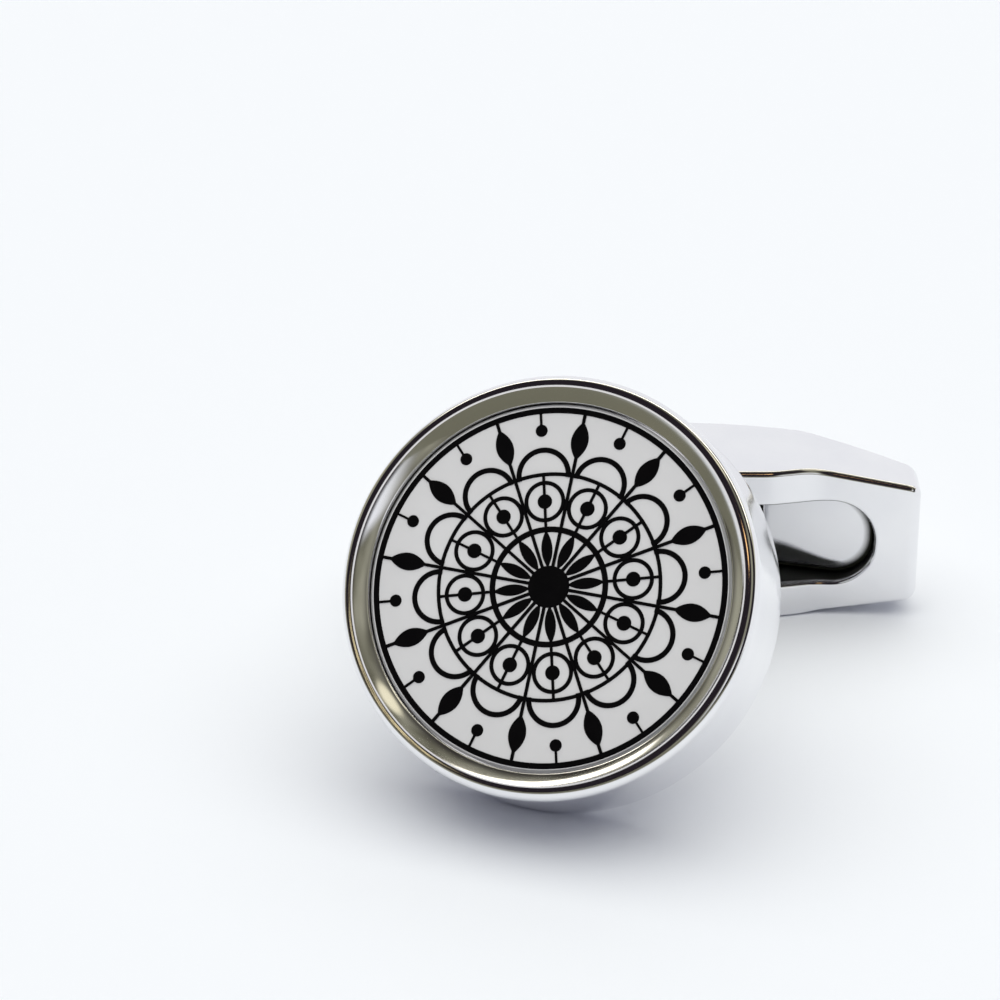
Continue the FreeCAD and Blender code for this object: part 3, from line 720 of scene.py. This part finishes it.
# Painted reflection: glossy rays see the sheet painted dim in front of the cufflink.
painted_reflection_share = (1 - ramp(depth, -0.030, -0.020)) * mirrored
laid_over(SHEET_WHITE, DIM_ROOM_REFLECTION, painted_reflection_share).into(shader, "Base Color")
shader.inputs["Roughness"].default_value = 0.55
shader.inputs["Specular IOR Level"].default_value = 0.2
table_mesh.materials.append(table_finish)

# Studio: white screens behind and at the right, black cloth in front with a pale card in it, warm
# walls and a few small lamps, all of which only polished metal shows. Other surfaces get an even
# soft fill, and the camera itself sees plain white.
FRONT_WAY = (-0.299, -0.664, 0.685)
ROOM_DIM = (0.10, 0.095, 0.065, 1.0)
ROOM_LIT = (0.36, 0.35, 0.27, 1.0)
WARM_WALL = (0.66, 0.62, 0.44, 1.0)
WHITE_SCREEN = (0.93, 0.94, 0.97, 1.0)
BLACK_CLOTH = (0.018, 0.014, 0.018, 1.0)
PALE_CARD = (0.83, 0.82, 0.82, 1.0)
GOLD_GLITTER = (0.95, 0.80, 0.46, 1.0)
COPPER_LAMP = (1.6, 0.95, 0.42, 1.0)
OVERHEAD_LAMP = (0.97, 0.90, 0.66, 1.0)
STRIP_LAMP = (3.0, 2.85, 2.45, 1.0)
SOFT_FILL = (0.21, 0.215, 0.27, 1.0)
PLAIN_WHITE = (0.94, 0.965, 1.0, 1.0)
studio = bpy.data.worlds.new("studio")
bpy.context.scene.world = studio
studio.use_nodes = True
start = Wire(studio.node_tree)
way = start.node("ShaderNodeTexCoord", out="Generated")


def towards(direction):
    """Cosine of the angle between where a ray goes and a direction."""
    aim = Vector(direction).normalized()
    return way.node("ShaderNodeVectorMath", {"operation": "DOT_PRODUCT"}, {0: way, 1: aim}, "Value")


def spot(direction, inner, outer):
    """1 within the inner angle of a direction, 0 beyond the outer one."""
    return ramp(towards(direction), math.cos(math.radians(outer)), math.cos(math.radians(inner)))


sideways = towards((1, 0, 0))
behind = towards((0, 1, 0))
upwards = towards((0, 0, 1))
frontal = towards(FRONT_WAY)
haze = noise(way, scale=2.6, detail=2.0)
room = way.node("ShaderNodeValToRGB", {"stops": [(0.35, ROOM_DIM), (0.65, ROOM_LIT)]}, {"Fac": haze})
warmth = (1 - ramp(frontal, 0.06, 0.32)) * (0.35 + haze * 0.7)
room = laid_over(room, WARM_WALL, warmth)
backdrop = ramp(behind, 0.40, 0.60) * (1 - ramp(upwards, 0.74, 0.84))
screen = ramp(sideways, 0.55, 0.80) * (1 - ramp(upwards, 0.30, 0.42))
room = laid_over(room, WHITE_SCREEN, start.sum("MAXIMUM", backdrop, screen))
room = laid_over(room, BLACK_CLOTH, spot(FRONT_WAY, 52.0, 66.0))
side_cloth = (1 - ramp(frontal, 0.24, 0.30)) * ramp(frontal, -0.16, -0.04) * ramp(sideways, 0.30, 0.45)
room = laid_over(room, BLACK_CLOTH, side_cloth)
room = laid_over(room, PALE_CARD, spot(FRONT_WAY, 6.0, 9.0))
glitter = ramp(noise(way, scale=16.0, detail=1.0), 0.42, 0.58)
room = laid_over(room, GOLD_GLITTER, spot((-0.60, -0.72, 0.32), 9.0, 17.0) * glitter)
room = laid_over(room, COPPER_LAMP, spot((0.32, -0.49, 0.81), 2.5, 5.0))
room = laid_over(room, OVERHEAD_LAMP, spot((0.385, 0.127, 0.9145), 3.5, 7.5))
off_strip = towards((0.0, -0.877, 0.48))
strip_light = (1 - ramp(off_strip * off_strip, 0.0014, 0.004)) * ramp(upwards, 0.5, 0.6)
room = laid_over(room, STRIP_LAMP, strip_light)
mirrored = start.node("ShaderNodeLightPath", out="Is Glossy Ray")
direct = start.node("ShaderNodeLightPath", out="Is Camera Ray")
plain = laid_over(SOFT_FILL, PLAIN_WHITE, direct)
sky = studio.node_tree.nodes["Background"]
laid_over(plain, room, mirrored).into(sky, "Color")
sky.inputs["Strength"].default_value = 1.0

# Window: one broad, soft light from above and a little behind, which lays the shadow on the table.
# Polished metal doesn't show it.
window_data = bpy.data.lights.new("window", "SUN")
window_data.energy = 2.55
window_data.color = (1.0, 1.0, 0.91)
window_data.angle = math.radians(92.0)
window = in_scene("window", window_data)
window.rotation_euler = Vector((0.0, 0.12, 1.0)).to_track_quat("Z", "Y").to_euler()
window.visible_glossy = False

# Camera: a telephoto view down on to the face from the right, fitted to the rings on it. The middle
# of the face stands a little right of the picture's middle and below it.
SENSOR = 36.0
FOCAL = 3.8
REACH = 0.1496
FACE_RIGHT = 0.0486
FACE_BELOW = 0.0868
camera_data = bpy.data.cameras.new("view")
camera_data.sensor_width = SENSOR
camera_data.lens = SENSOR * FOCAL
camera_data.clip_start = 0.005
camera_data.clip_end = 20.0
camera = in_scene("view", camera_data)
ahead = Vector((-0.2989, 0.8256, -0.4787)).normalized()
right = Vector((0.9403, 0.3404, 0.0))
right = (right - ahead * right.dot(ahead)).normalized()
above = right.cross(ahead)
face_middle = drum_base + face_way * FACE_TOP * MM
camera_place = face_middle - (right * FACE_RIGHT / FOCAL - above * FACE_BELOW / FOCAL + ahead) * REACH
turn = Matrix((right, above, -ahead)).transposed().to_4x4()
camera.matrix_world = Matrix.Translation(camera_place) @ turn
bpy.context.scene.camera = camera
bpy.context.scene.view_settings.view_transform = "Standard"
